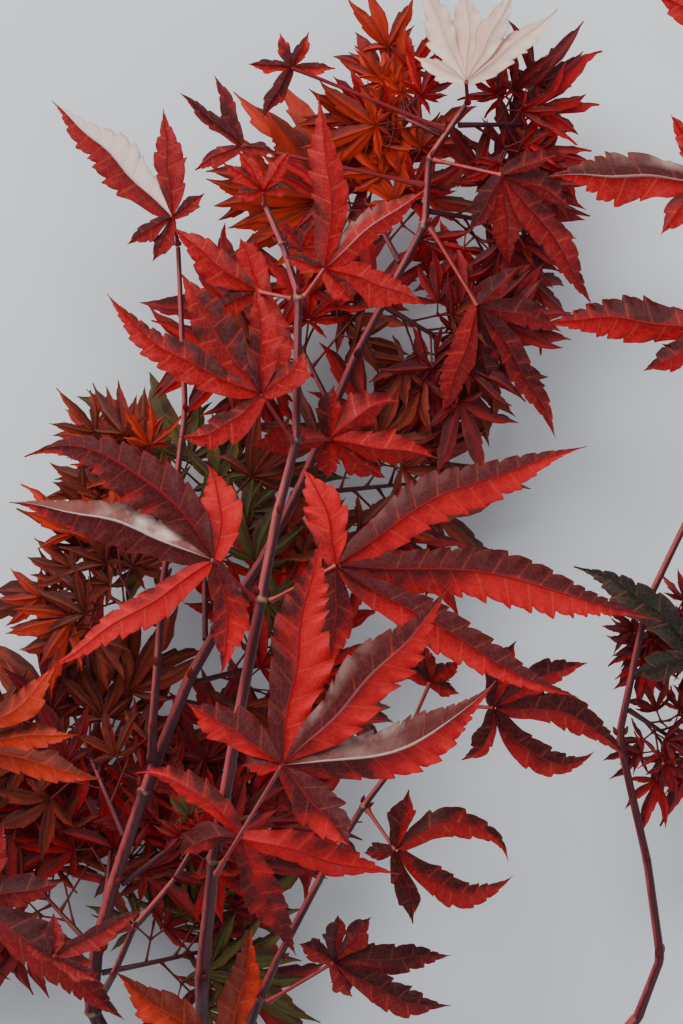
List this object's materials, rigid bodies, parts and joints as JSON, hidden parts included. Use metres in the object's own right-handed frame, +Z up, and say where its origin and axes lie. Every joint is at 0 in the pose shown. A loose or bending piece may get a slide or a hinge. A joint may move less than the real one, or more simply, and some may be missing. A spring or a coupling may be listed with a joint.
{
  "type": "japanese maple branch",
  "caption": "Cut branch of a red japanese maple lying down: a sawn limb, its shoots, large palmate leaves in front and leafy sprays behind.",
  "frame": {"origin": "on the ground, under the middle of the branch's box", "axes": "+Y along the branch from its sawn end to its tips, +X across it to the right seen from above, +Z up from the ground it lies on"},
  "size_m": [0.2076, 0.3382, 0.1377],
  "materials": {
    "bark": "grey-brown bark with fine cracks and a pale sawn end",
    "shoot": "smooth purple-red young bark with paler joints",
    "leaf": "thin red leaf with a soft gloss and pale veins",
    "spray": "thin maroon, orange-red and olive leaves on fine red twigs"
  },
  "bodies": {
    "root": {"cut_limb": "bark", "main_shoot": "shoot", "rear_shoot": "shoot", "dark_shoot": "shoot", "right_shoot": "shoot", "red_shoot": "shoot", "far_left_shoot": "shoot", "far_right_limb": "shoot", "far_right_shoot": "shoot", "leaf_droop_rear": "leaf", "leaf_edge_left": "leaf", "leaf_edge_lower": "leaf", "leaf_edge_middle": "leaf", "leaf_edge_top": "leaf", "leaf_edge_upper": "leaf", "leaf_foot": "leaf", "leaf_foot_left": "leaf", "leaf_foot_right": "leaf", "leaf_front": "leaf", "leaf_hang_rear": "leaf", "leaf_high_left": "leaf", "leaf_high_rear": "leaf", "leaf_high_right": "leaf", "leaf_low": "leaf", "leaf_low_right": "leaf", "leaf_mid_left": "leaf", "leaf_mid_right": "leaf", "leaf_pale_rear": "leaf", "leaf_small_left": "leaf", "leaf_small_right": "leaf", "leaf_star_rear": "leaf", "leaf_star_right": "leaf", "leaf_thin_rear": "leaf", "leaf_tip": "leaf", "leaf_tip_right": "leaf", "leaf_upper_left": "leaf", "leaf_upper_right": "leaf", "spray_behind": "spray", "spray_centre": "spray", "spray_centre_high": "spray", "spray_centre_right": "spray", "spray_droop_right": "spray", "spray_edge_right": "spray", "spray_foot": "spray", "spray_foot_left": "spray", "spray_heart": "spray", "spray_high_right": "spray", "spray_left": "spray", "spray_low": "spray", "spray_low_left": "spray", "spray_low_mid": "spray", "spray_mid_left": "spray", "spray_rear_right": "spray", "spray_red": "spray", "spray_top": "spray", "spray_top_right": "spray"}
  },
  "joints": []
}
